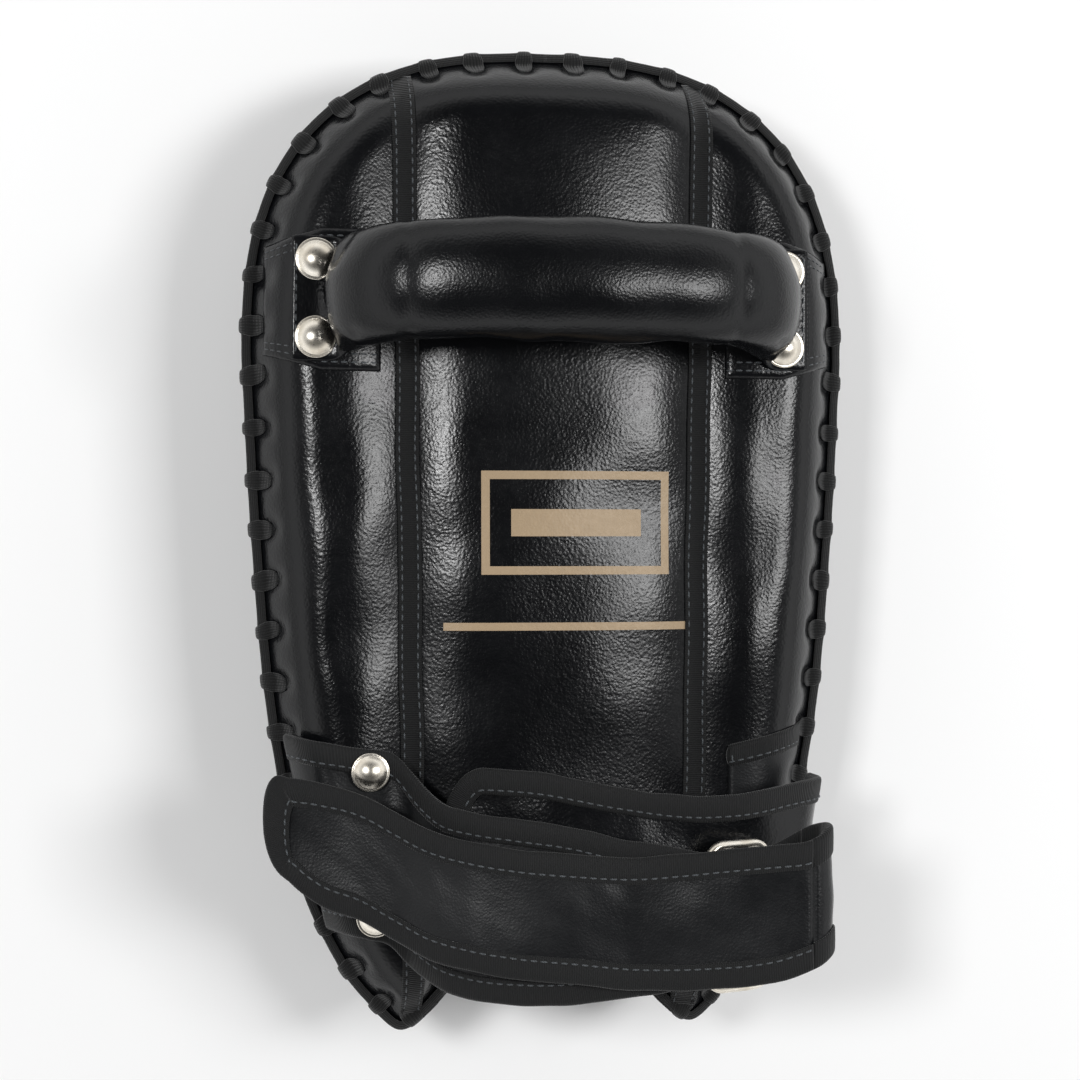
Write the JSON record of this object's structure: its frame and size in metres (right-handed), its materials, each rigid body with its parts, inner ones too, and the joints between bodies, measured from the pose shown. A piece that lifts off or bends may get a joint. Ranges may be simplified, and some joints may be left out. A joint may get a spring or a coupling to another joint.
{
  "type": "kick shield",
  "caption": "Hand-held foam kick shield in black leather, with a laced rim, a padded grip and a hook-and-loop forearm cuff on its three-panel back.",
  "frame": {"origin": "centre of the part's length and width, on the plane of the strike face", "axes": "+Z out of the back, towards the holder; +Y towards the crown, along the forearm; +X towards the cuff's fold and ring"},
  "size_m": [0.252, 0.4036, 0.1505],
  "materials": {
    "gloss_leather": "gloss",
    "satin_leather": "satin",
    "grosgrain": "matte",
    "lace": "matte",
    "webbing": "matte",
    "dense_foam": "matte",
    "soft_foam": "matte",
    "hook_and_loop": "matte",
    "nickel": "polished",
    "burr_metal": "satin"
  },
  "bodies": {
    "pad": {"strike_face": "gloss_leather", "side_gusset": "gloss_leather", "dense_foam_core": "dense_foam", "soft_foam_core": "soft_foam", "back_panel_left": "gloss_leather", "back_panel_centre": "gloss_leather", "back_panel_right": "gloss_leather", "back_foam_left": "soft_foam", "back_foam_centre": "soft_foam", "back_foam_right": "soft_foam", "seam_tape_left": "grosgrain", "seam_tape_right": "grosgrain", "edge_lace": "lace", "handle_tab_left": "gloss_leather", "handle_tab_right": "gloss_leather", "handle_strap": "webbing", "grip_foam": "soft_foam", "grip_cover": "gloss_leather", "handle_rivets_left": "nickel", "handle_rivets_right": "nickel", "handle_burrs_left": "burr_metal", "handle_burrs_right": "burr_metal", "strap_base": "satin_leather", "strap_run": "satin_leather", "strap_run_binding": "grosgrain", "strap_loop_patch": "hook_and_loop", "strap_rivets": "nickel", "strap_burrs": "burr_metal", "tongue_tab": "satin_leather", "tongue": "gloss_leather", "tongue_binding": "grosgrain", "ring_chape": "satin_leather"},
    "flap": {"flap": "satin_leather", "flap_binding": "grosgrain", "flap_hook_patch": "hook_and_loop"},
    "ring": {"ring": "nickel"}
  },
  "joints": [
    {"name": "flap_peel", "type": "hinge", "parent": "pad", "child": "flap", "pos_m": [0.1017, -0.137, 0.1394], "axis": [0, 1, 0], "range_deg": [0, 170]},
    {"name": "ring_tilt", "type": "hinge", "parent": "pad", "child": "ring", "pos_m": [0.0795, -0.1485, 0.1198], "axis": [0, 1, 0], "range_deg": [0, 8]}
  ]
}
